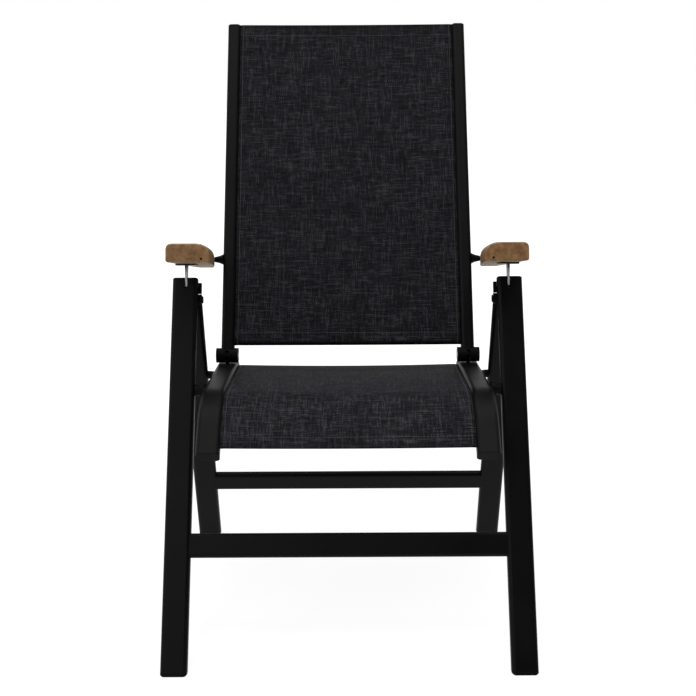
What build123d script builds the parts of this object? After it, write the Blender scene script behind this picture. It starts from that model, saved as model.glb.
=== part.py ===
from build123d import *
from math import cos, hypot, radians, sin
import os

# Folding, reclining garden armchair, in millimetres. X is across, Y runs to the rear, Z is up.
# The side view is drawn from the middle of the front feet, then the whole chair is centred.

# Fits and shared allowances
running_clearance = 0.05
soft_clearance = 0.3
side_gap = 0.6
overrun = 60.0

# Front legs: flat oval tube, leaning to the rear
half_width = 313.5
leg_width = 45.0
leg_depth = 20.0
leg_corner = 7.0
leg_wall = 2.0
leg_length = 676.0
leg_rise = 62.6
cap_height = 3.0
cap_insert = 27.0
cap_bevel = 1.2

# Feet of all four legs
foot_height = 6.0
foot_insert = 22.0
foot_bevel = 2.0

# Front stretcher, welded between the front legs
stretcher_along = 208.6
stretcher_height = 41.0
stretcher_depth = 16.0
stretcher_corner = 6.0
bar_wall = 2.0

# Rear legs: the same tube, hinged behind the front legs and spread a little at the floor
rear_width = 45.0
rear_depth = 20.0
rear_corner = 7.0
rear_wall = 2.0
rear_pivot_below = 31.0
rear_pivot_behind = 21.0
rear_top_inset = 27.2
rear_foot_inset = 22.2
rear_foot_back = 563.0
rear_head_below = 16.0
rear_head_insert = 22.0

# Rear stretcher, welded between the rear legs
rear_stretcher_up = 141.7
rear_stretcher_height = 41.0
rear_stretcher_depth = 16.0

# Hinge bracket behind the top of each front leg, with two tongues for the rear leg
shoulder_below = 2.0
shoulder_depth = 10.0
tongue_sheet = 6.0
tongue_spread = 20.0
tongue_eye = 9.5
rear_bolt = 8.0
rear_bolt_head = 13.0
rear_bolt_head_height = 2.0

# Seat rails: wide flat oval tube with a dropped front end
rail_gap = 18.0
rail_width = 40.0
rail_height = 24.0
rail_corner = 8.0
rail_wall = 2.0
seat_pivot_along = 476.0
seat_slope = 5.8
seat_crest_ahead = 88.0
seat_bend = 105.0
seat_front_drop = 42.0
seat_front_length = 104.0
seat_rear_reach = 224.0
rail_plug = 3.0
rail_plug_insert = 15.0

# Seat pivot on the inner side of each front leg, with a stepped plastic spacer
seat_bolt = 10.0
seat_bolt_head = 12.0
seat_bolt_head_height = 4.0
seat_bolt_grip = 9.0
seat_spacer = 29.0
seat_spacer_flange = 8.0
seat_spacer_hub = 20.0

# Seat crossbars below the fabric
crossbar_height = 12.0
crossbar_width = 25.0
crossbar_corner = 5.0
crossbar_drop = 11.0
seat_front_bar_ahead = 62.0
seat_rear_bar_back = 128.0

# Recline hinge above the rear end of the seat rails
hinge_reach = 196.6
hinge_rise = 27.0
knuckle_radius = 14.0
knuckle_width = 42.0
knuckle_tenon = 34.0
knuckle_low_turn = -88.0
knuckle_high_turn = 62.0
axle = 10.0
lug_sheet = 6.0
lug_eye = 9.0
lug_neck = 10.0
lug_foot = 34.0

# Backrest: two straight rails and two crossbars
back_step = 8.5
back_width = 25.0
back_depth = 22.0
back_corner = 7.0
back_wall = 2.0
back_length = 688.0
back_cap = 3.0
back_cap_insert = 15.0
back_cap_bevel = 1.2
back_bar_height = 22.0
back_bar_depth = 10.0
back_bar_corner = 4.0
back_bar_behind = 5.5
back_low_bar = 50.0
back_bar_from_top = 20.0

# Fabric of seat and back
fabric = 1.6
fabric_rise = 8.0
seat_fabric_front = 94.0
seat_fabric_rear = 200.0
back_fabric_ahead = 7.5
back_fabric_low = 18.0
back_fabric_over = 2.0

# Rest pins and their trumpet spacers on the back rails
pin = 8.0
pin_end_gap = 1.0
pin_head = 12.0
pin_head_height = 2.0
cone_large = 21.0
cone_waist = 14.0
cone_small = 10.0
cone_gap = 0.6
cone_waist_share = 0.45

# Arms: shaped wood, hinged at the top of the front legs, wide in front and narrow at the rear
arm_slope = 13.0
arm_lift = 38.5
arm_thickness = 32.0
arm_inset = 3.5
arm_front = 118.0
arm_middle = 30.0
arm_rear = 322.0
arm_front_width = 75.0
arm_middle_width = 66.0
arm_pin_width = 50.0
arm_rear_width = 31.0
arm_rear_inset = 5.0
arm_outer_side = 20.0
arm_outer_round = 11.0
arm_inner_side_front = 9.0
arm_inner_side_rear = 15.0
arm_crown_share = 0.34
arm_edge = 2.5
arm_end_bevel = 2.0
end_hole = 4.0
end_hole_rise = 5.5
end_hole_inset = 14.0
end_hole_depth = 30.0

# Arm bracket: flange under the arm and a plate that turns in the slot of the leg
plate_sheet = 3.5
plate_inset = 2.0
plate_nose = 6.5
plate_top = 24.0
flange_sheet = 3.0
flange_length = 36.0
flange_width = 36.0
slot_gap = 0.4
slot_floor = 2.5
arm_pivot_below = 12.0
arm_pin = 8.0
screw = 4.0
screw_head = 8.0
screw_length = 16.0
screw_spread_along = 24.0
screw_spread_across = 22.0

# Toothed rack let into the inner side of each arm
notches = 8
notch_pitch = 12.0
notch_round = 4.4
tooth_gap = 2.0
channel_below = 2.4
channel_depth = 15.0
rack_height = 6.0
rack_end = 9.0

# Stay links between the seat rails and the rear legs
stay_below_leg_top = 276.0
stay_lug_back = 82.0
stay_lug_below = 37.0
stay_sheet = 4.0
stay_lug_sheet = 3.0
stay_half_height = 7.0
stay_bolt = 7.0
stay_spacer = 15.0
stay_rivet_head = 1.2
stay_lug_length = 34.0

# Directions and pivot places in the side view
leg_y, leg_z = cos(radians(leg_rise)), sin(radians(leg_rise))
seat_y, seat_z = cos(radians(seat_slope)), -sin(radians(seat_slope))
arm_y, arm_z = cos(radians(arm_slope)), -sin(radians(arm_slope))


def on_leg(along, behind):
    return (along * leg_y + behind * leg_z, along * leg_z - behind * leg_y)


def on_seat(back, up):
    return (seat_pivot[0] + back * seat_y - up * seat_z, seat_pivot[1] + back * seat_z + up * seat_y)


def on_back(along, ahead):
    return (hinge[0] + along * leg_y - ahead * leg_z, hinge[1] + along * leg_z + ahead * leg_y)


def on_arm(back, up):
    return (arm_pivot[0] + back * arm_y - up * arm_z, arm_pivot[1] + back * arm_z + up * arm_y)


arm_pivot_along = leg_length + cap_height - arm_pivot_below
rear_pivot_along = leg_length - rear_pivot_below
seat_pivot = on_leg(seat_pivot_along, 0)
arm_pivot = on_leg(arm_pivot_along, 0)
rear_pivot = on_leg(rear_pivot_along, rear_pivot_behind)
stay_height = leg_length - stay_below_leg_top
back_high_bar = back_length - back_bar_from_top
back_fabric_high = back_length + back_fabric_over
hinge = on_seat(hinge_reach, hinge_rise)
rest_pin = on_back(arm_pivot_along - seat_pivot_along, 0)

leg_x = half_width - leg_width / 2
leg_inner = half_width - leg_width
rail_outer = leg_inner - rail_gap
rail_x = rail_outer - rail_width / 2
rail_inner = rail_outer - rail_width
back_outer = rail_outer - back_step
back_x = back_outer - back_width / 2
back_inner = back_outer - back_width
arm_outer = half_width - arm_inset
arm_inner_at_pin = arm_outer - arm_pin_width
channel_side = arm_inner_at_pin + channel_depth
plate_x = leg_x - plate_inset
rear_top_x = half_width - rear_top_inset
rear_foot_x = half_width - rear_foot_inset
rear_top_low = rear_top_x - rear_width / 2
rear_top_high = rear_top_x + rear_width / 2


def on_rear_leg(height):
    share = (rear_pivot[1] - height) / rear_pivot[1]
    x = rear_top_x + (rear_foot_x - rear_top_x) * share
    return (x, rear_pivot[0] + (rear_foot_back - rear_pivot[0]) * share, height)


stay_end = on_rear_leg(stay_height)[1:]
stay_start = on_seat(stay_lug_back, -stay_lug_below)
stay_outer_face = rail_outer + stay_lug_sheet + side_gap + stay_sheet


# Drawing planes: along the leg, the seat, the back and the arm, each seen from the side
def side_plane(place, direction):
    return Plane(origin=(0, *place), x_dir=(0, *direction), z_dir=(1, 0, 0))


side = side_plane((0, 0), (1, 0))
leg_plane = side_plane((0, 0), (leg_y, leg_z))
seat_plane = side_plane(seat_pivot, (seat_y, seat_z))
back_plane = side_plane(hinge, (leg_y, leg_z))
arm_plane = side_plane(arm_pivot, (arm_y, arm_z))


def across(plane, sketch, x_low, x_high):
    return extrude(plane.offset(x_low) * sketch, amount=x_high - x_low)


def disc(place, diameter, x_low, x_high):
    return across(side, Pos(*place) * Circle(diameter / 2), x_low, x_high)


def rectangle(low, high, floor, top):
    return Pos((low + high) / 2, (floor + top) / 2) * Rectangle(high - low, top - floor)


def prism(low, high, width, depth, corner):
    low, high = Vector(*low), Vector(*high)
    section = Plane(origin=low, x_dir=(1, 0, 0), z_dir=high - low)
    return extrude(section * RectangleRounded(width, depth, corner), amount=(high - low).length)


def tube_section(width, depth, corner):
    inner = RectangleRounded(width - 2 * bar_wall, depth - 2 * bar_wall, corner - bar_wall)
    return RectangleRounded(width, depth, corner) - inner


def past(start, end, extra):
    start, end = Vector(*start), Vector(*end)
    return tuple(end + (end - start).normalized() * extra)


def keep_above(shape, height):
    block = Box(4 * half_width, 4 * leg_length, 4 * overrun, align=(Align.CENTER, Align.CENTER, Align.MAX))
    return shape - Pos(0, 0, height) * block


def keep_below(shape, height):
    block = Box(4 * half_width, 4 * leg_length, 4 * leg_length, align=(Align.CENTER, Align.CENTER, Align.MIN))
    return shape - Pos(0, 0, height) * block


def other_side(shape):
    return mirror(shape, about=Plane.YZ)


def at_x(x, place):
    return (x, *place)


def bevel_end(shape, axis, size):
    end = shape.faces().sort_by(axis)[-1]
    return chamfer(end.edges(), size)


# Front leg with its foot, top cap and the slot for the arm plate
leg_high = at_x(leg_x, on_leg(leg_length, 0))
leg_start = past(leg_high, at_x(leg_x, (0, 0)), overrun)
leg_solid = prism(leg_start, leg_high, leg_width, leg_depth, leg_corner)
leg_bore = prism(leg_start, past(leg_start, leg_high, leg_wall), leg_width - 2 * leg_wall,
                 leg_depth - 2 * leg_wall, leg_corner - leg_wall)


def plate_slot(low):
    half = plate_sheet / 2 + slot_gap
    sketch = rectangle(low, leg_length + cap_height + overrun, -leg_depth - overrun, leg_depth + overrun)
    return across(leg_plane, sketch, plate_x - half, plate_x + half)


def leg_slot():
    return plate_slot(arm_pivot_along - plate_nose - slot_floor)


def arm_pin_hole():
    return disc(arm_pivot, arm_pin + 2 * running_clearance, leg_inner - overrun, half_width + overrun)


def front_leg():
    tube = keep_above(leg_solid - leg_bore, foot_height)
    tube -= disc(seat_pivot, seat_bolt, leg_inner - overrun, leg_inner + seat_bolt_grip)
    return tube - leg_slot() - arm_pin_hole()


def leg_cap():
    head = prism(leg_high, past(leg_start, leg_high, cap_height), leg_width, leg_depth, leg_corner)
    head = bevel_end(head, Axis.Z, cap_bevel)
    shank = prism(past(leg_start, leg_high, -cap_insert), leg_high, leg_width - 2 * leg_wall,
                  leg_depth - 2 * leg_wall, leg_corner - leg_wall)
    return head + shank - leg_slot() - arm_pin_hole()


def foot(solid, bore):
    pad = keep_above(keep_below(solid, foot_height), 0)
    down = Axis((0, 0, 0), (0, 0, -1))
    plug = keep_above(keep_below(bore, foot_height + foot_insert), foot_height)
    return bevel_end(pad, down, foot_bevel) + plug


def front_stretcher():
    sketch = Pos(stretcher_along, 0) * tube_section(stretcher_height, stretcher_depth, stretcher_corner)
    bar = across(leg_plane, sketch, -leg_x, leg_x)
    return bar - leg_solid - other_side(leg_solid)


# Rear leg: tube with a moulded head that turns on the tongues of the hinge bracket
rear_foot = on_rear_leg(0)
rear_top = on_rear_leg(rear_pivot[1])
rear_start = past(rear_top, rear_foot, overrun)
rear_tube_top = past(rear_foot, rear_top, -rear_head_below)
rear_solid = prism(rear_start, rear_tube_top, rear_width, rear_depth, rear_corner)
rear_bore = prism(rear_start, past(rear_start, rear_tube_top, overrun), rear_width - 2 * rear_wall,
                  rear_depth - 2 * rear_wall, rear_corner - rear_wall)
bracket_plane = side_plane(rear_pivot, (leg_y, leg_z))


def tongue_places():
    middles = (rear_top_x - tongue_spread / 2, rear_top_x + tongue_spread / 2)
    return [(middle - tongue_sheet / 2, middle + tongue_sheet / 2) for middle in middles]


def rear_bolt_hole(diameter):
    return disc(rear_pivot, diameter, rear_top_low - overrun, rear_top_high + overrun)


def rear_leg():
    tube = keep_above(rear_solid - rear_bore, foot_height)
    x, y, z = on_rear_leg(stay_height)
    return tube - disc((y, z), stay_bolt, x - rear_width, x)


def rear_head():
    shape = prism(rear_tube_top, rear_top, rear_width, rear_depth, rear_corner)
    shape += disc(rear_pivot, rear_depth, rear_top_low, rear_top_high)
    shape += prism(past(rear_foot, rear_tube_top, -rear_head_insert), rear_tube_top,
                   rear_width - 2 * rear_wall, rear_depth - 2 * rear_wall, rear_corner - rear_wall)
    rear_plane = side_plane(rear_pivot, (rear_pivot[0] - rear_foot_back, rear_pivot[1]))
    opening = rectangle(-tongue_eye - side_gap, overrun, -overrun, overrun)
    for low, high in tongue_places():
        shape -= across(rear_plane, opening, low - side_gap, high + side_gap)
    return shape - rear_bolt_hole(rear_bolt + 2 * running_clearance)


def rear_stretcher():
    x, y, z = on_rear_leg(rear_stretcher_up)
    direction = (rear_pivot[0] - rear_foot_back, rear_pivot[1])
    sketch = tube_section(rear_stretcher_height, rear_stretcher_depth, stretcher_corner)
    bar = across(side_plane((y, z), direction), sketch, -x, x)
    return bar - rear_solid - other_side(rear_solid)


def hinge_bracket():
    root = rear_pivot_behind - leg_depth / 2
    top = rear_pivot_below - shoulder_below
    shoulder = rectangle(rear_depth / 2 + side_gap, top, root - shoulder_depth, root)
    shape = across(bracket_plane, shoulder, rear_top_low, rear_top_high)
    tongue = Circle(tongue_eye) + rectangle(-tongue_eye, top, 0, root)
    for low, high in tongue_places():
        shape += across(bracket_plane, tongue, low, high)
    return shape - plate_slot(rear_pivot_along - tongue_eye) - rear_bolt_hole(rear_bolt)


def rear_hinge_bolt():
    low, high = rear_top_low - side_gap, rear_top_high + side_gap
    shape = disc(rear_pivot, rear_bolt, low, high)
    shape += disc(rear_pivot, rear_bolt_head, low - rear_bolt_head_height, low)
    return shape + disc(rear_pivot, rear_bolt_head, high, high + rear_bolt_head_height)


# Seat rail: straight from the hinge to the crest, then bent down to the front end
def front_of_seat(length):
    turn = radians(seat_front_drop + seat_slope)
    return (-seat_crest_ahead - length * cos(turn), -length * sin(turn))


def along_seat(section, front_length, rear_length, x):
    points = [front_of_seat(front_length), (-seat_crest_ahead, 0), (rear_length, 0)]
    path = seat_plane.offset(x) * FilletPolyline(*points, radius=seat_bend)
    start = Plane(origin=path @ 0, x_dir=(-1, 0, 0), z_dir=path % 0)
    return sweep(start * section, path=path)


def rail_solid():
    return along_seat(RectangleRounded(rail_width, rail_height, rail_corner), seat_front_length,
                      seat_rear_reach, rail_x)


def seat_rail():
    bore = along_seat(RectangleRounded(rail_width - 2 * rail_wall, rail_height - 2 * rail_wall,
                                       rail_corner - rail_wall), seat_front_length + leg_wall,
                      seat_rear_reach + leg_wall, rail_x)
    hole = disc(seat_pivot, seat_bolt + 2 * running_clearance, rail_outer - 2 * rail_wall, rail_outer + overrun)
    return rail_solid() - bore - hole


def rail_end(inside, tip):
    head = prism(tip, past(inside, tip, rail_plug), rail_width, rail_height, rail_corner)
    shank = prism(past(inside, tip, -rail_plug_insert), tip, rail_width - 2 * rail_wall,
                  rail_height - 2 * rail_wall, rail_corner - rail_wall)
    return head + shank


def seat_front_plug():
    return rail_end(at_x(rail_x, on_seat(-seat_crest_ahead, 0)), at_x(rail_x, on_seat(*front_of_seat(seat_front_length))))


def seat_rear_plug():
    return rail_end(at_x(rail_x, on_seat(0, 0)), at_x(rail_x, on_seat(seat_rear_reach, 0)))


def seat_crossbar(back):
    sketch = Pos(back, -crossbar_drop) * tube_section(crossbar_width, crossbar_height, crossbar_corner)
    bar = across(seat_plane, sketch, -rail_inner - rail_wall, rail_inner + rail_wall)
    return bar - rail_solid() - other_side(rail_solid())


def seat_pivot_bolt():
    head_top = rail_outer - rail_wall - side_gap
    shape = disc(seat_pivot, seat_bolt, head_top, leg_inner + seat_bolt_grip)
    return shape + disc(seat_pivot, seat_bolt_head, head_top - seat_bolt_head_height, head_top)


def seat_pivot_spacer():
    low = rail_outer + side_gap
    shape = disc(seat_pivot, seat_spacer, low, low + seat_spacer_flange)
    shape += disc(seat_pivot, seat_spacer_hub, low, leg_inner)
    return shape - disc(seat_pivot, seat_bolt, low - overrun, leg_inner + overrun)


def seat_hinge_lug():
    floor = rail_height / 2
    outline = Pos(hinge_reach, hinge_rise) * Circle(lug_eye)
    outline += rectangle(hinge_reach - lug_neck / 2, hinge_reach + lug_neck / 2, floor, hinge_rise)
    shape = across(seat_plane, outline, rail_x - lug_sheet / 2, rail_x + lug_sheet / 2)
    return shape - disc(hinge, axle + 2 * running_clearance, rail_x - overrun, rail_x + overrun)


# Recline hinge: knuckle on the foot of each back rail, turning on an axle through the seat lug
def knuckle_slot():
    half = lug_sheet / 2 + side_gap
    swept = Circle(knuckle_radius + side_gap)
    reach = 3 * knuckle_radius
    corners = [(0, 0)]
    for turn in (knuckle_low_turn, (knuckle_low_turn + knuckle_high_turn) / 2, knuckle_high_turn):
        corners.append((reach * cos(radians(turn)), reach * sin(radians(turn))))
    bridge = make_face(Polyline(*corners, close=True))
    sketch = swept - bridge + Circle(lug_eye + side_gap)
    return across(back_plane, sketch, rail_x - half, rail_x + half)


knuckle_low = rail_x - knuckle_width / 2
knuckle_high = rail_x + knuckle_width / 2


def back_tube(low, high, shrink):
    return prism(at_x(back_x, on_back(low, 0)), at_x(back_x, on_back(high, 0)), back_width - 2 * shrink,
                 back_depth - 2 * shrink, back_corner - shrink)


def hinge_knuckle():
    barrel = disc(hinge, 2 * knuckle_radius, knuckle_low, knuckle_high)
    tenon = back_tube(knuckle_radius / 2, knuckle_tenon, back_wall)
    bore = disc(hinge, axle + 2 * running_clearance, knuckle_low - overrun, knuckle_high + overrun)
    return barrel + tenon - knuckle_slot() - bore


def hinge_axle():
    return disc(hinge, axle, knuckle_low, knuckle_high)


# Backrest rails, caps and crossbars
def back_rail():
    tube = back_tube(0, back_length, 0) - back_tube(-overrun, back_length + overrun, back_wall)
    hole = disc(rest_pin, pin, back_inner - overrun, back_outer + overrun)
    return tube - disc(hinge, 2 * knuckle_radius, knuckle_low, knuckle_high) - hole


def back_top_cap():
    head = bevel_end(back_tube(back_length, back_length + back_cap, 0), Axis.Z, back_cap_bevel)
    return head + back_tube(back_length - back_cap_insert, back_length, back_wall)


def back_crossbar(along):
    sketch = Pos(along, -back_bar_behind) * tube_section(back_bar_height, back_bar_depth, back_bar_corner)
    bar = across(back_plane, sketch, -back_x, back_x)
    rail = back_tube(-overrun, back_length + overrun, 0)
    return bar - rail - other_side(rail)


# Rest pin through the back rail, with the trumpet spacer that faces the arm
def rest_pin_bolt():
    shape = disc(rest_pin, pin, back_inner, channel_side - pin_end_gap)
    return shape + disc(rest_pin, pin_head, back_inner - pin_head_height, back_inner)


def pin_cone():
    low, high = back_outer, arm_inner_at_pin - cone_gap
    waist = low + (high - low) * cone_waist_share
    places = [(low, cone_large), (waist, cone_waist), (high, cone_small)]
    rings = [side.offset(x) * Pos(*rest_pin) * Circle(size / 2) for x, size in places]
    return loft(rings, ruled=True) - disc(rest_pin, pin, low - overrun, high + overrun)


# Arm: lofted through sections along its length, with the rack channel in its inner side
def arm_section(back, width, outer, inner_side):
    plane = Plane(origin=(0, *on_arm(back, 0)), x_dir=(1, 0, 0), z_dir=(0, -arm_y, -arm_z))
    inner = outer - width
    floor, top = arm_lift, arm_lift + arm_thickness
    outer_top, inner_top = floor + arm_outer_side, floor + inner_side
    crown_start = outer - arm_outer_round
    crown_end = inner + width * arm_crown_share
    edges = [
        Line((inner + arm_edge, floor), (outer - arm_edge, floor)),
        Line((outer - arm_edge, floor), (outer, floor + arm_edge)),
        Line((outer, floor + arm_edge), (outer, outer_top)),
        Bezier((outer, outer_top), (outer, top), (crown_start, top)),
        Line((crown_start, top), (crown_end, top)),
        Bezier((crown_end, top), (inner, top), (inner, inner_top)),
        Line((inner, inner_top), (inner, floor + arm_edge)),
        Line((inner, floor + arm_edge), (inner + arm_edge, floor)),
    ]
    return plane * make_face(edges)


def arm_body():
    inner_middle = (arm_inner_side_front + arm_inner_side_rear) / 2
    stations = [
        (-arm_front, arm_front_width, arm_outer, arm_inner_side_front),
        (arm_middle, arm_middle_width, arm_outer, inner_middle),
        (pin_back, arm_pin_width, arm_outer, arm_inner_side_rear),
        (arm_rear, arm_rear_width, arm_outer - arm_rear_inset, arm_inner_side_rear),
    ]
    body = loft([arm_section(*station) for station in stations])
    rearward = Axis((0, *arm_pivot), (0, arm_y, arm_z))
    return bevel_end(bevel_end(body, rearward, arm_end_bevel), rearward.reverse(), arm_end_bevel)


pin_back = (rest_pin[0] - arm_pivot[0]) * arm_y + (rest_pin[1] - arm_pivot[1]) * arm_z
pin_up = -(rest_pin[0] - arm_pivot[0]) * arm_z + (rest_pin[1] - arm_pivot[1]) * arm_y
rack_low = pin_back - rack_end
rack_high = pin_back + (notches - 1) * notch_pitch + rack_end
tooth_tip = pin_up + pin / 2 + tooth_gap
channel_floor = pin_up - pin / 2 - channel_below


def block_in_arm(floor, top):
    inside = arm_outer - arm_front_width - overrun
    return across(arm_plane, rectangle(rack_low, rack_high, floor, top), inside, channel_side)


def rack(body):
    strip = block_in_arm(tooth_tip, tooth_tip + rack_height) & body
    pockets = Sketch()
    for count in range(notches):
        pockets += Pos(pin_back + count * notch_pitch, tooth_tip) * Circle(notch_round)
    return strip - across(arm_plane, pockets, back_inner, channel_side + overrun)


def end_bore():
    x = arm_outer - arm_front_width + end_hole_inset
    start = Plane(origin=at_x(x, on_arm(-arm_front, arm_lift + end_hole_rise)), z_dir=(0, arm_y, arm_z))
    return extrude(start * Circle(end_hole / 2), amount=end_hole_depth, both=True)


def arm_wood(body):
    return body - block_in_arm(channel_floor, tooth_tip + rack_height) - end_bore() - arm_screws()


# Arm bracket and its countersunk screws
def arm_bracket():
    floor = arm_lift - flange_sheet
    half_high = plate_top / 2
    taper = make_face(Polyline((-plate_nose, 0), (plate_nose, 0), (half_high, floor), (-half_high, floor), close=True))
    plate = across(arm_plane, taper + Circle(plate_nose), plate_x - plate_sheet / 2, plate_x + plate_sheet / 2)
    flange = across(arm_plane, rectangle(-flange_length / 2, flange_length / 2, floor, arm_lift),
                    plate_x - flange_width / 2, plate_x + flange_width / 2)
    hole = disc(arm_pivot, arm_pin + 2 * running_clearance, plate_x - overrun, plate_x + overrun)
    return plate + flange - hole - arm_screws()


def arm_screws():
    group = []
    base = Plane(origin=at_x(plate_x, on_arm(0, arm_lift - flange_sheet)), x_dir=(1, 0, 0), z_dir=(0, -arm_z, arm_y))
    upright = (Align.CENTER, Align.CENTER, Align.MIN)
    for along in (-screw_spread_along / 2, screw_spread_along / 2):
        for over in (-screw_spread_across / 2, screw_spread_across / 2):
            spot = base * Pos(over, along, 0)
            shank = spot * Cylinder(screw / 2, screw_length, align=upright)
            group.append(shank + spot * Cone(screw_head / 2, screw / 2, flange_sheet, align=upright))
    return group


def arm_pivot_pin():
    return disc(arm_pivot, arm_pin, leg_inner, half_width)


# Stay link with a lug under the seat rail and a spacer on the rear leg
def stay_lug():
    eye = Pos(stay_lug_back, -stay_lug_below) * Circle(stay_half_height)
    half_root, half_eye = stay_lug_length / 2, stay_half_height
    taper = make_face(Polyline((stay_lug_back - half_root, 0), (stay_lug_back + half_root, 0),
                               (stay_lug_back + half_eye, -stay_lug_below),
                               (stay_lug_back - half_eye, -stay_lug_below), close=True))
    plate = across(seat_plane, eye + taper, rail_outer, rail_outer + stay_lug_sheet)
    return plate - disc(stay_start, stay_bolt + 2 * running_clearance, rail_outer - overrun, rail_outer + overrun)


def stay_link():
    run_y, run_z = stay_end[0] - stay_start[0], stay_end[1] - stay_start[1]
    length = hypot(run_y, run_z)
    low = stay_outer_face - stay_sheet
    sketch = Pos(length / 2, 0) * SlotCenterToCenter(length, 2 * stay_half_height)
    bar = across(side_plane(stay_start, (run_y / length, run_z / length)), sketch, low, stay_outer_face)
    return bar + disc(stay_start, stay_bolt, rail_outer, stay_outer_face + stay_rivet_head)


def stay_spacer_bolt():
    x = on_rear_leg(stay_height)[0]
    start = stay_outer_face + soft_clearance
    spacer = disc(stay_end, stay_spacer, start, x) - rear_solid
    return spacer + disc(stay_end, stay_bolt, start, x)


# Fabric panels
def seat_fabric():
    section = Pos(0, fabric_rise) * Rectangle(2 * rail_inner, fabric)
    return along_seat(section, seat_fabric_front, seat_fabric_rear, 0)


def back_fabric():
    floor = back_fabric_ahead - fabric / 2
    return across(back_plane, rectangle(back_fabric_low, back_fabric_high, floor, floor + fabric),
                  -back_inner, back_inner)


def build():
    parts = {}

    def pair(name, shape):
        parts[name + "_right"] = shape
        parts[name + "_left"] = other_side(shape)

    def group(name, shapes):
        parts[name] = Compound(children=list(shapes) + [other_side(shape) for shape in shapes])

    pair("front_leg", front_leg())
    pair("leg_cap", leg_cap())
    pair("front_foot", foot(leg_solid, leg_bore))
    parts["front_stretcher"] = front_stretcher()
    pair("hinge_bracket", hinge_bracket())
    group("rear_hinge_bolts", [rear_hinge_bolt()])
    group("seat_pivot_bolts", [seat_pivot_bolt()])
    pair("seat_pivot_spacer", seat_pivot_spacer())
    pair("rear_leg", rear_leg())
    pair("rear_head", rear_head())
    pair("rear_foot", foot(rear_solid, rear_bore))
    parts["rear_stretcher"] = rear_stretcher()
    group("stay_bolts", [stay_spacer_bolt()])
    pair("seat_rail", seat_rail())
    pair("seat_front_plug", seat_front_plug())
    pair("seat_rear_plug", seat_rear_plug())
    parts["seat_front_crossbar"] = seat_crossbar(-seat_front_bar_ahead)
    parts["seat_rear_crossbar"] = seat_crossbar(seat_rear_bar_back)
    pair("seat_hinge_lug", seat_hinge_lug())
    pair("stay_lug", stay_lug())
    pair("stay_link", stay_link())
    parts["seat_fabric"] = seat_fabric()
    group("hinge_axles", [hinge_axle()])
    pair("hinge_knuckle", hinge_knuckle())
    pair("back_rail", back_rail())
    pair("back_top_cap", back_top_cap())
    parts["back_lower_crossbar"] = back_crossbar(back_low_bar)
    parts["back_upper_crossbar"] = back_crossbar(back_high_bar)
    parts["back_fabric"] = back_fabric()
    pair("rest_pin", rest_pin_bolt())
    pair("pin_cone", pin_cone())
    group("arm_pivot_pins", [arm_pivot_pin()])
    body = arm_body()
    pair("arm", arm_wood(body))
    pair("arm_rack", rack(body))
    pair("arm_bracket", arm_bracket())
    group("arm_screws", arm_screws())
    return parts


pieces = build()
box = Compound(children=list(pieces.values())).bounding_box()
centring = Pos(0, -(box.min.Y + box.max.Y) / 2, -box.min.Z)

os.makedirs("parts", exist_ok=True)
for node, shape in pieces.items():
    moved = Compound([solid.moved(centring) for solid in shape.solids()])
    export_step(moved, "parts/" + node + ".step")
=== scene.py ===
import bpy
import bmesh
from math import cos, pi, radians, sin
from mathutils import Matrix, Vector


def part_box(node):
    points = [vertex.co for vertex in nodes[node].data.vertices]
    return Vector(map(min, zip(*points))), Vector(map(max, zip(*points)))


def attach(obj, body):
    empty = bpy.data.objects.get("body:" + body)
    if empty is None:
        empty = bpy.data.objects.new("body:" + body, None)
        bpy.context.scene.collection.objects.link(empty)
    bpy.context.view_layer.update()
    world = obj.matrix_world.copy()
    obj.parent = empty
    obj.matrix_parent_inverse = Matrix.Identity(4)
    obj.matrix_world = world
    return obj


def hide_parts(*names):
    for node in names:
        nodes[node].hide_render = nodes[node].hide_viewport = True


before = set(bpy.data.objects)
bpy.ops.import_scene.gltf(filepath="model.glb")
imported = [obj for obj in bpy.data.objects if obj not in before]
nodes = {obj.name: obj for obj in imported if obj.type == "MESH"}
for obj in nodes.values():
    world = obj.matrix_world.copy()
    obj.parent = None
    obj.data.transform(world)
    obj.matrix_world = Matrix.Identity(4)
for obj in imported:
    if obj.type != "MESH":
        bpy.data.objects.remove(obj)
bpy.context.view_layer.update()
scene = bpy.context.scene
scene.view_settings.view_transform = "Standard"

# The photographer's place: in front of the chair and a little above it, with a short telephoto lens.
# The picture leans by a third of a degree, and the shift sets the chair as high in it as the photo does.
eye_height = 1.0671
eye_distance = 2.1893
look_down = radians(12.6)
picture_lean = radians(-0.29)
camera = bpy.data.objects.new("studio_camera", bpy.data.cameras.new("studio_camera"))
scene.collection.objects.link(camera)
camera.matrix_world = (Matrix.Translation((0, -eye_distance, eye_height))
                       @ Matrix.Rotation(pi / 2 - look_down, 4, "X") @ Matrix.Rotation(picture_lean, 4, "Z"))
camera.data.sensor_width = 36
camera.data.lens = 62.75
camera.data.shift_x = 0.0008
camera.data.shift_y = -0.0905
camera.data.clip_end = 50
scene.camera = camera

# Studio floor: one flat sheet of white paper, 24 m across. It shows as white to the eye and in
# reflections, a little greyer near the chair, where its glow is turned down as a painted shade, and takes
# the soft shadow of the feet.


def new_material(name):
    material = bpy.data.materials.new(name)
    material.use_nodes = True
    tree = material.node_tree
    shader = tree.nodes["Principled BSDF"]
    return material, tree, shader


def link(tree, source, target):
    tree.links.new(source, target)


def feed(tree, socket, value):
    if isinstance(value, (int, float, tuple)):
        socket.default_value = value
    else:
        link(tree, value, socket)


def math(tree, operation, *values):
    node = tree.nodes.new("ShaderNodeMath")
    node.operation = operation
    for socket, value in zip(node.inputs, values):
        feed(tree, socket, value)
    return node.outputs[0]


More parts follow.
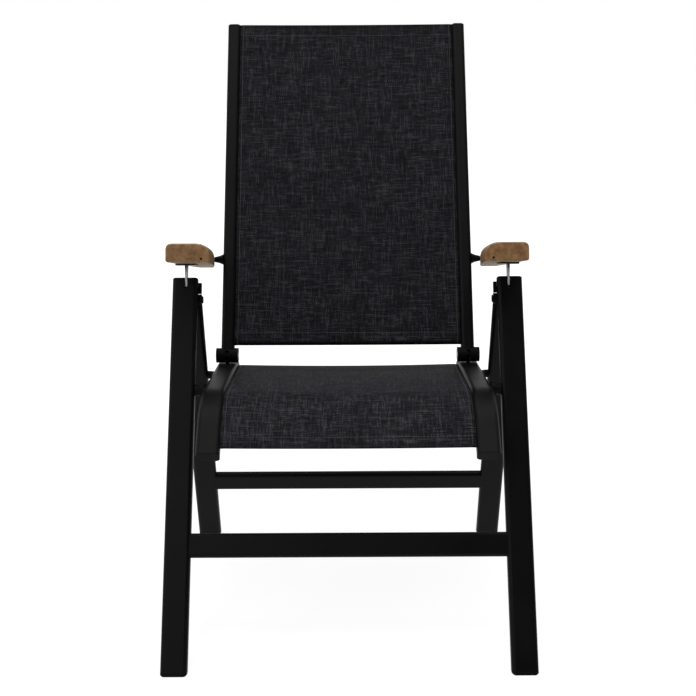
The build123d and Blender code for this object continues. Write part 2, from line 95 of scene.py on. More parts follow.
def spread(tree, value, low, high, to_low, to_high, curve="LINEAR"):
    node = tree.nodes.new("ShaderNodeMapRange")
    node.interpolation_type = curve
    for label, number in (("Value", value), ("From Min", low), ("From Max", high),
                          ("To Min", to_low), ("To Max", to_high)):
        feed(tree, node.inputs[label], number)
    return node.outputs["Result"]


def show_to_eye_and_gloss(tree, plain, shown, surface):
    rays = tree.nodes.new("ShaderNodeLightPath")
    unbent = math(tree, "MAXIMUM", rays.outputs["Is Camera Ray"], rays.outputs["Is Glossy Ray"])
    mix = tree.nodes.new("ShaderNodeMixShader")
    link(tree, math(tree, "MAXIMUM", unbent, rays.outputs["Is Transmission Ray"]), mix.inputs[0])
    link(tree, plain.outputs[0], mix.inputs[1])
    link(tree, shown.outputs[0], mix.inputs[2])
    link(tree, mix.outputs[0], surface)


paper_half = 12.0
shaded_reach = 0.6
white_reach = 1.4
shaded_glow = 0.84
paper = bpy.data.materials.new("white_paper")
paper.use_nodes = True
tree = paper.node_tree
tree.nodes.clear()
paper_out = tree.nodes.new("ShaderNodeOutputMaterial")
paper_plain = tree.nodes.new("ShaderNodeBsdfDiffuse")
paper_plain.inputs["Color"].default_value = (0.75, 0.75, 0.75, 1)
paper_shadow = tree.nodes.new("ShaderNodeBsdfDiffuse")
paper_shadow.inputs["Color"].default_value = (0.3, 0.3, 0.3, 1)
paper_place = tree.nodes.new("ShaderNodeTexCoord")
paper_away = tree.nodes.new("ShaderNodeVectorMath")
paper_away.operation = "LENGTH"
link(tree, paper_place.outputs["Object"], paper_away.inputs[0])
paper_glow = tree.nodes.new("ShaderNodeEmission")
# The glow is 0.84 near the chair and full white from 1.4 m out: a painted shade around the chair.
paper_glow_with_painted_shade = spread(tree, paper_away.outputs["Value"], shaded_reach, white_reach, shaded_glow, 1.0,
                     "SMOOTHSTEP")
link(tree, paper_glow_with_painted_shade, paper_glow.inputs["Strength"])
paper_sum = tree.nodes.new("ShaderNodeAddShader")
link(tree, paper_shadow.outputs[0], paper_sum.inputs[0])
link(tree, paper_glow.outputs[0], paper_sum.inputs[1])
show_to_eye_and_gloss(tree, paper_plain, paper_sum, paper_out.inputs["Surface"])
floor_mesh = bpy.data.meshes.new("studio_floor")
floor_corners = [(x * paper_half, y * paper_half, 0) for x, y in ((-1, -1), (1, -1), (1, 1), (-1, 1))]
floor_mesh.from_pydata(floor_corners, [], [(0, 1, 2, 3)])
floor_mesh.materials.append(paper)
floor = bpy.data.objects.new("studio_floor", floor_mesh)
scene.collection.objects.link(floor)

# The air of the studio: white wherever the camera looks. In reflections it is white behind the chair and
# overhead and dim on the photographer's side, so the front of the dark tubes reflects little.


def facing(tree, normal, direction):
    node = tree.nodes.new("ShaderNodeVectorMath")
    node.operation = "DOT_PRODUCT"
    link(tree, normal, node.inputs[0])
    node.inputs[1].default_value = direction
    return node.outputs["Value"]


world = bpy.data.worlds.new("studio_air")
world.use_nodes = True
scene.world = world
tree = world.node_tree
tree.nodes.clear()
air_out = tree.nodes.new("ShaderNodeOutputWorld")
air_place = tree.nodes.new("ShaderNodeTexCoord")
air_side = facing(tree, air_place.outputs["Generated"], (-0.3, 0.75, 0.55))
air_light = tree.nodes.new("ShaderNodeBackground")
air_light.inputs["Color"].default_value = (1, 1, 1, 1)
link(tree, spread(tree, air_side, -0.5, 0.6, 0.3, 0.7, "SMOOTHSTEP"), air_light.inputs["Strength"])
air_white = tree.nodes.new("ShaderNodeBackground")
air_white.inputs["Color"].default_value = (1, 1, 1, 1)
air_rays = tree.nodes.new("ShaderNodeLightPath")
air_mirrored = spread(tree, air_side, -0.45, 0.45, 0.07, 1.0, "SMOOTHSTEP")
air_seen = math(tree, "MAXIMUM", air_mirrored, air_rays.outputs["Is Camera Ray"])
link(tree, air_seen, air_white.inputs["Strength"])
show_to_eye_and_gloss(tree, air_light, air_white, air_out.inputs["Surface"])


def soft_lamp(name, place, target, width, height, power):
    lamp = bpy.data.lights.new(name, "AREA")
    lamp.shape = "RECTANGLE"
    lamp.size = width
    lamp.size_y = height
    lamp.energy = power
    holder = bpy.data.objects.new(name, lamp)
    aim = Vector(target) - Vector(place)
    holder.matrix_world = Matrix.Translation(place) @ aim.to_track_quat("-Z", "Y").to_matrix().to_4x4()
    scene.collection.objects.link(holder)


soft_lamp("ceiling_softbox", place=(0, -0.4, 3.2), target=(0, 0.1, 0.4), width=2.4, height=2.4, power=36)
soft_lamp("front_softbox", place=(-1.2, -3.4, 2.2), target=(0, 0, 0.5), width=1.6, height=1.6, power=22)
soft_lamp("side_softbox", place=(-2.6, -1.6, 1.8), target=(0, 0, 0.6), width=1.2, height=1.6, power=10)

# Frame tubes, stretchers, crossbars, stay links and welded brackets: drawn aluminium, degreased, sprayed
# with a matt black polyester powder and baked. The coat has a fine orange peel and a dull, wide sheen.


def group_tree(name, inputs, outputs):
    tree = bpy.data.node_groups.new(name, "ShaderNodeTree")
    for label, kind, value in inputs:
        socket = tree.interface.new_socket(label, in_out="INPUT", socket_type=kind)
        if value is not None:
            socket.default_value = value
    for label, kind in outputs:
        tree.interface.new_socket(label, in_out="OUTPUT", socket_type=kind)
    return tree, tree.nodes.new("NodeGroupInput"), tree.nodes.new("NodeGroupOutput")


def place_group(tree, group, **values):
    node = tree.nodes.new("ShaderNodeGroup")
    node.node_tree = group
    for label, value in values.items():
        node.inputs[label.replace("_", " ")].default_value = value
    return node


def noise(tree, vector, scale, detail=2.0, roughness=0.5):
    node = tree.nodes.new("ShaderNodeTexNoise")
    link(tree, vector, node.inputs["Vector"])
    feed(tree, node.inputs["Scale"], scale)
    node.inputs["Detail"].default_value = detail
    node.inputs["Roughness"].default_value = roughness
    return node


def blend_colour(tree, factor, first, second, mode="MIX"):
    node = tree.nodes.new("ShaderNodeMix")
    node.data_type = "RGBA"
    node.blend_type = mode
    for socket, value in ((node.inputs[0], factor), (node.inputs[6], first), (node.inputs[7], second)):
        feed(tree, socket, value)
    return node.outputs[2]


def dented(tree, shader, height, distance, strength=1.0):
    node = tree.nodes.new("ShaderNodeBump")
    node.inputs["Distance"].default_value = distance
    node.inputs["Strength"].default_value = strength
    link(tree, height, node.inputs["Height"])
    link(tree, node.outputs["Normal"], shader.inputs["Normal"])


speck_share = 0.35
peel, peel_in, peel_out = group_tree(
    "sprayed_or_moulded_skin",
    [("Grain Scale", "NodeSocketFloat", 900.0), ("Cloud Scale", "NodeSocketFloat", 9.0),
     ("Dark", "NodeSocketColor", (0.01, 0.01, 0.01, 1)), ("Light", "NodeSocketColor", (0.02, 0.02, 0.02, 1)),
     ("Smooth", "NodeSocketFloat", 0.42), ("Rough", "NodeSocketFloat", 0.56)],
    [("Colour", "NodeSocketColor"), ("Roughness", "NodeSocketFloat"), ("Height", "NodeSocketFloat")])
peel_place = peel.nodes.new("ShaderNodeTexCoord")
peel_grain = noise(peel, peel_place.outputs["Object"], peel_in.outputs["Grain Scale"], 3.0)
peel_cloud = noise(peel, peel_place.outputs["Object"], peel_in.outputs["Cloud Scale"], 4.0, 0.6)
peel_shade = spread(peel, peel_cloud.outputs["Fac"], 0.3, 0.7, 0.0, 1.0)
peel_speck = spread(peel, peel_grain.outputs["Fac"], 0.35, 0.75, 0.0, 1.0)
peel_shade_part = math(peel, "MULTIPLY", peel_shade, 1 - speck_share)
peel_mixed = math(peel, "MULTIPLY_ADD", peel_speck, speck_share, peel_shade_part)
peel_colour = blend_colour(peel, peel_mixed, peel_in.outputs["Dark"], peel_in.outputs["Light"])
peel_rough = spread(peel, peel_cloud.outputs["Fac"], 0.3, 0.7, peel_in.outputs["Smooth"],
                    peel_in.outputs["Rough"])
link(peel, peel_colour, peel_out.inputs["Colour"])
link(peel, peel_rough, peel_out.inputs["Roughness"])
link(peel, peel_grain.outputs["Fac"], peel_out.inputs["Height"])


def skinned(name, dark, light, smooth, rough, grain_scale, bump, specular):
    material, tree, shader = new_material(name)
    skin = place_group(tree, peel, Dark=dark, Light=light, Smooth=smooth, Rough=rough,
                       Grain_Scale=grain_scale)
    dented(tree, shader, skin.outputs["Height"], distance=bump, strength=0.6)
    link(tree, skin.outputs["Colour"], shader.inputs["Base Color"])
    link(tree, skin.outputs["Roughness"], shader.inputs["Roughness"])
    shader.inputs["Specular IOR Level"].default_value = specular
    return material


def finish_nodes(material, *names):
    for name in names:
        for node_name, node in nodes.items():
            if node_name.startswith(name):
                if not node.material_slots:
                    node.data.materials.append(material)
                for piece_slot in node.material_slots:
                    piece_slot.link = "OBJECT"
                    piece_slot.material = material


coat = skinned("black_powder_coat", dark=(0.0013, 0.0013, 0.0015, 1), light=(0.0029, 0.0029, 0.0032, 1),
               smooth=0.38, rough=0.50, grain_scale=1100, bump=0.0001, specular=0.09)
finish_nodes(coat, "front_leg", "front_stretcher", "rear_leg", "rear_stretcher", "seat_rail",
             "seat_front_crossbar", "seat_rear_crossbar", "back_rail", "back_lower_crossbar",
             "back_upper_crossbar", "hinge_bracket", "seat_hinge_lug", "stay_lug", "stay_link")

# Plugs, caps, feet, knuckles, spacers, toothed racks and the caps over the hinge, pivot and stay bolts:
# black nylon, injection moulded in a spark-eroded tool, so the skin has a fine leathery grain.
nylon = skinned("black_moulded_nylon", dark=(0.0012, 0.0012, 0.0012, 1), light=(0.0026, 0.0026, 0.0026, 1),
                smooth=0.5, rough=0.66, grain_scale=620, bump=0.0002, specular=0.08)
finish_nodes(nylon, "leg_cap", "front_foot", "rear_foot", "seat_front_plug", "seat_rear_plug",
             "hinge_knuckle", "back_top_cap", "pin_cone", "arm_rack", "rear_head", "seat_pivot_spacer",
             "rear_hinge_bolts", "seat_pivot_bolts", "stay_bolts")

# Recline axles, rest pins, arm pins, screws and the plates under the arms: plain steel, zinc plated, with
# the fine lines of drawing and stamping. The flange against the arm is painted near black: a painted shade
# under the arm.
painted_shade_starts_below_top = 0.022
painted_shade_full_below_top = 0.008
steel, tree, shader = new_material("zinc_plated_steel")
steel_place = tree.nodes.new("ShaderNodeTexCoord")
steel_stretch = tree.nodes.new("ShaderNodeMapping")
steel_stretch.inputs["Scale"].default_value = (900, 900, 40)
link(tree, steel_place.outputs["Object"], steel_stretch.inputs["Vector"])
steel_lines = noise(tree, steel_stretch.outputs["Vector"], 1.0, 3.0)
steel_cloud = noise(tree, steel_place.outputs["Object"], 60, 3.0)
steel_bright = blend_colour(tree, steel_cloud.outputs["Fac"], (0.27, 0.27, 0.265, 1), (0.46, 0.46, 0.45, 1))
steel_split = tree.nodes.new("ShaderNodeSeparateXYZ")
link(tree, steel_place.outputs["Object"], steel_split.inputs[0])
# Steel near the height of the arm plates' tops turns near black: a painted shade under the arms.
plate_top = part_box("arm_bracket_left")[1][2]
steel_painted_shade = spread(tree, steel_split.outputs["Z"], plate_top - painted_shade_starts_below_top,
                     plate_top - painted_shade_full_below_top, 0.0, 1.0)
link(tree, blend_colour(tree, steel_painted_shade, steel_bright, (0.02, 0.02, 0.02, 1)), shader.inputs["Base Color"])
link(tree, spread(tree, steel_lines.outputs["Fac"], 0.3, 0.7, 0.28, 0.44), shader.inputs["Roughness"])
shader.inputs["Metallic"].default_value = 0.9
dented(tree, shader, steel_lines.outputs["Fac"], distance=0.00005)
finish_nodes(steel, "hinge_axles", "rest_pin", "arm_pivot_pins", "arm_bracket", "arm_screws")

# Arms: oiled plantation teak, planed and sanded, with the grain along the arm. The end grain is darker, and
# the upward faces are painted paler: a painted sheen on the tops.


def three_tones(tree, value, *tones):
    node = tree.nodes.new("ShaderNodeValToRGB")
    stops = node.color_ramp.elements
    stops.new(0.5)
    for stop, (position, colour) in zip(stops, tones):
        stop.position = position
        stop.color = colour
    link(tree, value, node.inputs["Fac"])
    return node.outputs["Color"]


arm_slope = radians(13.0)
teak, tree, shader = new_material("oiled_teak")
teak_place = tree.nodes.new("ShaderNodeTexCoord")
teak_turn = tree.nodes.new("ShaderNodeMapping")
teak_turn.inputs["Rotation"].default_value = (arm_slope, 0, 0)
link(tree, teak_place.outputs["Object"], teak_turn.inputs["Vector"])
teak_long = tree.nodes.new("ShaderNodeMapping")
teak_long.inputs["Scale"].default_value = (1, 0.07, 1)
link(tree, teak_turn.outputs["Vector"], teak_long.inputs["Vector"])
teak_band = noise(tree, teak_long.outputs["Vector"], 85, 3.0, 0.55)
teak_band.inputs["Distortion"].default_value = 0.7
teak_fibre = noise(tree, teak_long.outputs["Vector"], 900, 4.0, 0.6)
teak_wide = noise(tree, teak_turn.outputs["Vector"], 14, 2.0)
teak_tones = three_tones(tree, teak_band.outputs["Fac"], (0.3, (0.155, 0.082, 0.030, 1)),
                         (0.5, (0.245, 0.142, 0.060, 1)), (0.72, (0.36, 0.222, 0.105, 1)))
teak_fine = spread(tree, teak_fibre.outputs["Fac"], 0.3, 0.7, 0.82, 1.14)
teak_wide_shade = spread(tree, teak_wide.outputs["Fac"], 0.3, 0.7, 0.86, 1.12)
teak_shade = math(tree, "MULTIPLY", teak_fine, teak_wide_shade)
teak_grey = tree.nodes.new("ShaderNodeCombineColor")
for channel in range(3):
    link(tree, teak_shade, teak_grey.inputs[channel])
teak_colour = blend_colour(tree, 1.0, teak_tones, teak_grey.outputs["Color"], "MULTIPLY")
teak_end_facing = facing(tree, teak_place.outputs["Normal"], (0, -cos(arm_slope), sin(arm_slope)))
teak_end_size = math(tree, "ABSOLUTE", teak_end_facing)
teak_end_mask = spread(tree, teak_end_size, 0.6, 0.95, 0.0, 1.0)
teak_end_colour = blend_colour(tree, 1.0, teak_colour, (0.78, 0.70, 0.62, 1), "MULTIPLY")
teak_ends = blend_colour(tree, teak_end_mask, teak_colour, teak_end_colour)
# Faces turned up blend towards a pale colour: a painted sheen on the tops of the arms.
teak_up_facing = facing(tree, teak_place.outputs["Normal"], (0, sin(arm_slope), cos(arm_slope)))
teak_top_sheen = spread(tree, teak_up_facing, 0.35, 0.9, 0.0, 0.62)
teak_sheen_colour = blend_colour(tree, teak_fibre.outputs["Fac"], (0.30, 0.235, 0.145, 1), (0.52, 0.44, 0.30, 1))
link(tree, blend_colour(tree, teak_top_sheen, teak_ends, teak_sheen_colour), shader.inputs["Base Color"])
link(tree, spread(tree, teak_fibre.outputs["Fac"], 0.3, 0.7, 0.5, 0.68), shader.inputs["Roughness"])
dented(tree, shader, teak_fibre.outputs["Fac"], distance=0.0003, strength=0.5)
shader.inputs["Specular IOR Level"].default_value = 0.3
finish_nodes(teak, "arm_left", "arm_right")

# Seat panel: plastic-covered polyester thread, woven to a mesh in charcoal and black and stretched between
# the seat rails. Front and rear ends are folded under and sewn, and a welt holds each side in its rail.
# The cloth is lighter to the front and darker to the rear, to look like the photo: painted light and shade.


def middle(node):
    low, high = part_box(node)
    return ((low[1] + high[1]) / 2, (low[2] + high[2]) / 2)


seat_pivot = middle("seat_pivot_bolts")
seat_slope = radians(5.8)
seat_drop = radians(42.0)
seat_crest = -0.088
seat_bend = 0.105
seat_rise = 0.008
seat_front_end = 0.094
seat_rear_end = 0.200
seat_half_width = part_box("seat_fabric")[1][0]
thread_layer = 0.0012
hem_width = 0.022
bound_edge = 0.0095
fade_length = 0.14
seat_sag = 0.005
welt_bite = 0.0001
welt_band = 0.006
welt_drop = 0.0016
hem_step = 0.0015
slack_reach = 0.05
slack_at_hem = 0.55
panel_columns = 48
column_crowding = 0.12
shift_per_thread = 3.17
seat_steps = 16


def seat_line(steps):
    turn = seat_drop + seat_slope
    tangent = seat_bend * (1 - cos(turn)) / sin(turn)
    lines = []
    front = seat_front_end - tangent
    for step in range(steps + 1):
        reach = tangent + front * (1 - step / steps)
        lines.append((seat_crest - reach * cos(turn), -reach * sin(turn), turn))
    centre = (seat_crest + tangent, -seat_bend)
    for step in range(1, 2 * steps + 1):
        angle = turn * (1 - step / (2 * steps))
        lines.append((centre[0] - seat_bend * sin(angle), centre[1] + seat_bend * cos(angle), angle))
    for step in range(1, 2 * steps + 1):
        lines.append((centre[0] + (seat_rear_end - centre[0]) * step / (2 * steps), 0.0, 0.0))
    placed = []
    for back, up, angle in lines:
        back, up = back - seat_rise * sin(angle), up + seat_rise * cos(angle)
        y = seat_pivot[0] + back * cos(seat_slope) + up * sin(seat_slope)
        z = seat_pivot[1] - back * sin(seat_slope) + up * cos(seat_slope)
        tilt = angle - seat_slope
        placed.append((Vector((0, y, z)), Vector((0, -sin(tilt), cos(tilt)))))
    return placed


def free_share(from_end):
    return slack_at_hem + (1 - slack_at_hem) * min(1.0, from_end / slack_reach)


def fall_of_cloth(x, half_width, sag):
    share = x / half_width
    to_rail = half_width - abs(x)
    return sag * (1 - share * share) + welt_drop * max(0.0, 1 - to_rail / welt_band) ** 2


def runs_along(line):
    lengths = [0.0]
    for (first, _), (second, _) in zip(line, line[1:]):
        lengths.append(lengths[-1] + (second - first).length)
    return lengths


def panel(name, line, half_width, sag, hem_painted_shades, front_painted_light=1.0, rear_painted_shade=1.0):
    lengths = runs_along(line)
    total = lengths[-1]
    shape = bmesh.new()
    thread_uv = shape.loops.layers.uv.new("thread")
    painted_light_layer = shape.verts.layers.float_color.new("painted_light_and_shade")
    places_across = []
    for column in range(panel_columns + 1):
        share = 2 * column / panel_columns - 1
        places_across.append(half_width * (share * (1 + column_crowding - column_crowding * share * share)))
    rows = []
    for (place, normal), run in zip(line, lengths):
        from_end = min(run, total - run)
        in_hem = max(0.0, min(1.0, (hem_width - from_end) / hem_step))
        tuck = thread_layer * 0.5 * (1 - max(0.0, min(1.0, from_end / thread_layer)))
        upper = thread_layer * 0.5 - tuck
        lower = -thread_layer * (0.5 + in_hem) + tuck
        top_row, low_row = [], []
        for x in places_across:
            body = place - normal * (fall_of_cloth(x, half_width, sag) * free_share(from_end))
            top_row.append(Vector((x, 0, 0)) + body + normal * upper)
            low_row.append(Vector((x, 0, 0)) + body + normal * lower)
        rows.append((top_row, low_row))
    top = [[shape.verts.new(point) for point in row[0]] for row in rows]
    low = [[shape.verts.new(point) for point in row[1]] for row in rows]
    place_of = {}
    for row in range(len(rows)):
        for column in range(panel_columns + 1):
            x = rows[row][0][column].x
            place_of[top[row][column]] = (x, lengths[row])
            place_of[low[row][column]] = (x, lengths[row])
            # Painted light and shade: one value over most of the panel, fading to another near its last end;
            # each hem band takes its own painted shade.
            tone = rear_painted_shade + (front_painted_light - rear_painted_shade) * min(1.0, (total - lengths[row]) / fade_length)
            if lengths[row] < bound_edge:
                tone = hem_painted_shades[0]
            elif total - lengths[row] < bound_edge:
                tone = hem_painted_shades[1]
            top[row][column][painted_light_layer] = (tone, tone, tone, 1)
            low[row][column][painted_light_layer] = (tone, tone, tone, 1)

    def face(corners):
        made = shape.faces.new(corners)
        made.smooth = True
        for loop in made.loops:
            loop[thread_uv].uv = place_of[loop.vert]

    for row in range(len(rows) - 1):
        for column in range(panel_columns):
            face((top[row][column], top[row][column + 1], top[row + 1][column + 1], top[row + 1][column]))
            face((low[row][column], low[row + 1][column], low[row + 1][column + 1], low[row][column + 1]))
        face((top[row][0], top[row + 1][0], low[row + 1][0], low[row][0]))
        face((top[row][-1], low[row][-1], low[row + 1][-1], top[row + 1][-1]))
    for column in range(panel_columns):
        face((top[0][column], low[0][column], low[0][column + 1], top[0][column + 1]))
        face((top[-1][column], top[-1][column + 1], low[-1][column + 1], low[-1][column]))
    bmesh.ops.recalc_face_normals(shape, faces=shape.faces)
    mesh = bpy.data.meshes.new(name)
    shape.to_mesh(mesh)
    shape.free()
    made = bpy.data.objects.new(name, mesh)
    scene.collection.objects.link(made)
    return made, total


thread, thread_in, thread_out = group_tree(
    "woven_thread",
    [("Vector", "NodeSocketVector", None), ("Pitch", "NodeSocketFloat", 0.0016),
     ("Slub", "NodeSocketFloat", 34.0)],
    [("Shade", "NodeSocketFloat"), ("Height", "NodeSocketFloat")])
thread_split = thread.nodes.new("ShaderNodeSeparateXYZ")
link(thread, thread_in.outputs["Vector"], thread_split.inputs[0])


def one_way(across_axis, along_axis, seed):
    steps = math(thread, "DIVIDE", across_axis, thread_in.outputs["Pitch"])
    index = math(thread, "FLOOR", steps)
    within = math(thread, "FRACT", steps)
    row = thread.nodes.new("ShaderNodeCombineXYZ")
    link(thread, math(thread, "MULTIPLY", index, shift_per_thread), row.inputs[0])
    link(thread, math(thread, "MULTIPLY", along_axis, thread_in.outputs["Slub"]), row.inputs[1])
    row.inputs[2].default_value = seed
    slub = noise(thread, row.outputs[0], 1.0, 2.0, 0.6)
    bulge = math(thread, "SINE", math(thread, "MULTIPLY", within, pi))
    return index, slub.outputs["Fac"], bulge


warp_index, warp_slub, warp_bulge = one_way(thread_split.outputs[0], thread_split.outputs[1], 1.5)
weft_index, weft_slub, weft_bulge = one_way(thread_split.outputs[1], thread_split.outputs[0], 8.5)
crossing = math(thread, "MODULO", math(thread, "ABSOLUTE", math(thread, "ADD", warp_index, weft_index)), 2.0)
over = math(thread, "GREATER_THAN", crossing, 0.5)
under = math(thread, "SUBTRACT", 1.0, over)
warp_part = math(thread, "MULTIPLY", over, warp_slub)
weft_part = math(thread, "MULTIPLY", under, weft_slub)
link(thread, math(thread, "ADD", warp_part, weft_part), thread_out.inputs["Shade"])
warp_round = math(thread, "MULTIPLY", warp_bulge, math(thread, "POWER", weft_bulge, 0.5))
weft_round = math(thread, "MULTIPLY", weft_bulge, math(thread, "POWER", warp_bulge, 0.5))
warp_high = math(thread, "MULTIPLY", over, warp_round)
weft_high = math(thread, "MULTIPLY", under, weft_round)
link(thread, math(thread, "ADD", warp_high, weft_high), thread_out.inputs["Height"])

mesh_cloth, tree, shader = new_material("charcoal_mesh_cloth")
cloth_place = tree.nodes.new("ShaderNodeUVMap")
cloth_place.uv_map = "thread"
weave = place_group(tree, thread, Pitch=0.0021, Slub=38.0)
link(tree, cloth_place.outputs["UV"], weave.inputs["Vector"])
cloth_tones = three_tones(tree, weave.outputs["Shade"], (0.36, (0.0030, 0.0030, 0.0034, 1)),
                          (0.53, (0.0124, 0.0120, 0.0144, 1)), (0.68, (0.040, 0.039, 0.044, 1)))
cloth_cloud = noise(tree, cloth_place.outputs["UV"], 22, 3.0)
cloth_patch = spread(tree, cloth_cloud.outputs["Fac"], 0.4, 0.6, 0.0, 1.0)
cloth_tint = blend_colour(tree, cloth_patch, (1.0, 1.0, 0.97, 1), (0.98, 0.97, 1.05, 1))
cloth_tinted = blend_colour(tree, 1.0, cloth_tones, cloth_tint, "MULTIPLY")
# The painted light and shade stored on the panel's points multiplies the cloth colour.
cloth_painted_shading = tree.nodes.new("ShaderNodeAttribute")
cloth_painted_shading.attribute_name = "painted_light_and_shade"
cloth_colour = blend_colour(tree, 1.0, cloth_tinted, cloth_painted_shading.outputs["Color"], "MULTIPLY")
link(tree, cloth_colour, shader.inputs["Base Color"])
link(tree, spread(tree, weave.outputs["Height"], 0.0, 1.0, 0.8, 0.55), shader.inputs["Roughness"])
dented(tree, shader, weave.outputs["Height"], distance=0.0004, strength=0.5)
shader.inputs["Specular IOR Level"].default_value = 0.05

seat_path = seat_line(seat_steps)
# The seat is painted lighter at the front and darker at the rear, with a painted shade on its rear hem.
seat_panel, seat_length = panel("seat_mesh_panel", seat_path, seat_half_width + welt_bite, seat_sag,
                                hem_painted_shades=(1.0, 0.5), front_painted_light=1.32, rear_painted_shade=0.40)
seat_panel.data.materials.append(mesh_cloth)
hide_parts("seat_fabric")
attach(seat_panel, "seat")

# Back panel: the same cloth, stretched between the back rails from the knuckles up to the top caps.
# Both hems are set darker, the lower one nearly black, to look like the photo: painted shade.
hinge_place = middle("hinge_axles")
back_rise = radians(62.6)
back_ahead = 0.0075
back_low_end = 0.018
back_high_end = 0.690
back_half_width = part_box("back_fabric")[1][0]
back_steps = 140
back_sag = 0.004
back_line = []
for step in range(back_steps + 1):
    run = back_low_end + (back_high_end - back_low_end) * step / back_steps
    y = hinge_place[0] + run * cos(back_rise) - back_ahead * sin(back_rise)
    z = hinge_place[1] + run * sin(back_rise) + back_ahead * cos(back_rise)
    back_line.append((Vector((0, y, z)), Vector((0, -sin(back_rise), cos(back_rise)))))
# Painted shade on both hems, the lower one nearly black.
back_panel, back_length = panel("back_mesh_panel", back_line, back_half_width + welt_bite, back_sag,
                                hem_painted_shades=(0.10, 0.6))
back_panel.data.materials.append(mesh_cloth)
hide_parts("back_fabric")
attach(back_panel, "back")

# Stitching: dark grey bonded thread, lock stitched by machine along both hems of each panel and along the
# welt seams beside the rails.
stitch_length = 0.0042
stitch_thread = 0.0010
stitch_pitch = 0.0052
stitch_proud_share = 0.3
seam_from_rail = 0.0065
seam_end_gap = 0.004
hem_seam_steps = 40
sewing_yarn, tree, shader = new_material("bonded_sewing_thread")
thread_place = tree.nodes.new("ShaderNodeTexCoord")
thread_twist = noise(tree, thread_place.outputs["Object"], 1400, 2.0)
twist_colour = blend_colour(tree, thread_twist.outputs["Fac"], (0.035, 0.035, 0.037, 1),
                            (0.095, 0.095, 0.100, 1))
link(tree, twist_colour, shader.inputs["Base Color"])
shader.inputs["Roughness"].default_value = 0.6
shader.inputs["Specular IOR Level"].default_value = 0.2

sewing = bpy.data.node_groups.new("sew_along_seam", "GeometryNodeTree")
for label, kind, in_out, value in (("Geometry", "NodeSocketGeometry", "INPUT", None),
                                   ("Pitch", "NodeSocketFloat", "INPUT", stitch_pitch),
                                   ("Stitch Length", "NodeSocketFloat", "INPUT", stitch_length),
                                   ("Thread Width", "NodeSocketFloat", "INPUT", stitch_thread),
                                   ("Unevenness", "NodeSocketFloat", "INPUT", 0.05),
                                   ("Thread", "NodeSocketMaterial", "INPUT", None),
                                   ("Geometry", "NodeSocketGeometry", "OUTPUT", None)):
    socket = sewing.interface.new_socket(label, in_out=in_out, socket_type=kind)
    if value is not None:
        socket.default_value = value
sewing_in = sewing.nodes.new("NodeGroupInput")
sewing_out = sewing.nodes.new("NodeGroupOutput")
sewing_path = sewing.nodes.new("GeometryNodeMeshToCurve")
sewing_steps = sewing.nodes.new("GeometryNodeResampleCurve")
sewing_steps.mode = "LENGTH"
sewing_points = sewing.nodes.new("GeometryNodeCurveToPoints")
sewing_points.mode = "EVALUATED"
sewing_stitch = sewing.nodes.new("GeometryNodeMeshUVSphere")
sewing_stitch.inputs["Segments"].default_value = 6
sewing_stitch.inputs["Rings"].default_value = 4
sewing_stitch.inputs["Radius"].default_value = 0.5
sewing_size = sewing.nodes.new("ShaderNodeCombineXYZ")
sewing_turn = sewing.nodes.new("FunctionNodeRandomValue")
sewing_turn.data_type = "FLOAT_VECTOR"
sewing_turn.inputs["Seed"].default_value = 7
sewing_low = math(sewing, "MULTIPLY", sewing_in.outputs["Unevenness"], -1.0)
sewing_aim = sewing.nodes.new("FunctionNodeRotateRotation")
sewing_aim.rotation_space = "LOCAL"
sewing_set = sewing.nodes.new("GeometryNodeInstanceOnPoints")
sewing_real = sewing.nodes.new("GeometryNodeRealizeInstances")
sewing_skin = sewing.nodes.new("GeometryNodeSetMaterial")
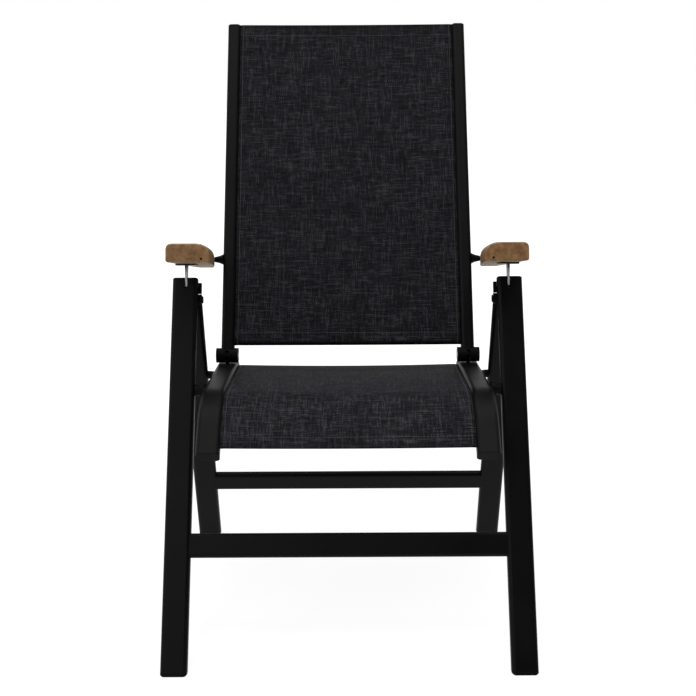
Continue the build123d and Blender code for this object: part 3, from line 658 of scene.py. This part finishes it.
for source, target in (
        (sewing_in.outputs["Geometry"], sewing_path.inputs[0]),
        (sewing_path.outputs[0], sewing_steps.inputs[0]),
        (sewing_in.outputs["Pitch"], sewing_steps.inputs["Length"]),
        (sewing_steps.outputs[0], sewing_points.inputs[0]),
        (sewing_points.outputs["Points"], sewing_set.inputs["Points"]),
        (sewing_stitch.outputs["Mesh"], sewing_set.inputs["Instance"]),
        (sewing_in.outputs["Thread Width"], sewing_size.inputs[0]),
        (sewing_in.outputs["Thread Width"], sewing_size.inputs[1]),
        (sewing_in.outputs["Stitch Length"], sewing_size.inputs[2]),
        (sewing_size.outputs[0], sewing_set.inputs["Scale"]),
        (sewing_low, sewing_turn.inputs[0]),
        (sewing_in.outputs["Unevenness"], sewing_turn.inputs[1]),
        (sewing_points.outputs["Rotation"], sewing_aim.inputs[0]),
        (sewing_turn.outputs[0], sewing_aim.inputs[1]),
        (sewing_aim.outputs[0], sewing_set.inputs["Rotation"]),
        (sewing_set.outputs[0], sewing_real.inputs[0]),
        (sewing_real.outputs[0], sewing_skin.inputs["Geometry"]),
        (sewing_in.outputs["Thread"], sewing_skin.inputs["Material"]),
        (sewing_skin.outputs[0], sewing_out.inputs[0])):
    link(sewing, source, target)


def stitched(name, line, half_width, sag, body):
    lengths = runs_along(line)
    total = lengths[-1]
    corners, edges = [], []

    def lay(row, x):
        place, normal = line[row]
        free = free_share(min(lengths[row], total - lengths[row]))
        fall = fall_of_cloth(x, half_width, sag) * free
        up = thread_layer * 0.5 + stitch_thread * stitch_proud_share - fall
        corners.append(Vector((x, 0, 0)) + place + normal * up)

    def run_of(make, count):
        start = len(corners)
        for step in range(count):
            make(step)
        edges.extend((start + step, start + step + 1) for step in range(count - 1))

    seam = half_width - seam_from_rail
    inside = [row for row in range(len(line)) if seam_end_gap < lengths[row] < total - seam_end_gap]
    for side in (-1, 1):
        run_of(lambda step: lay(inside[step], side * seam), len(inside))
    first = min(range(len(line)), key=lambda row: abs(lengths[row] - hem_width))
    last = min(range(len(line)), key=lambda row: abs(total - lengths[row] - hem_width))
    for row in (first, last):
        run_of(lambda step: lay(row, seam * (2 * step / hem_seam_steps - 1)), hem_seam_steps + 1)
    mesh = bpy.data.meshes.new(name + "_seams")
    mesh.from_pydata(corners, edges, [])
    made = bpy.data.objects.new(name, mesh)
    scene.collection.objects.link(made)
    sewn = made.modifiers.new("sewn", "NODES")
    sewn.node_group = sewing
    for item in sewing.interface.items_tree:
        if item.in_out == "INPUT" and item.name == "Thread":
            sewn[item.identifier] = sewing_yarn
    bpy.context.view_layer.update()
    seen = made.evaluated_get(bpy.context.evaluated_depsgraph_get())
    finished = bpy.data.meshes.new_from_object(seen)
    made.modifiers.remove(sewn)
    made.data = finished
    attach(made, body)


stitched("seat_panel_stitches", seat_path, seat_half_width + welt_bite, seat_sag, "seat")
stitched("back_panel_stitches", back_line, back_half_width + welt_bite, back_sag, "back")
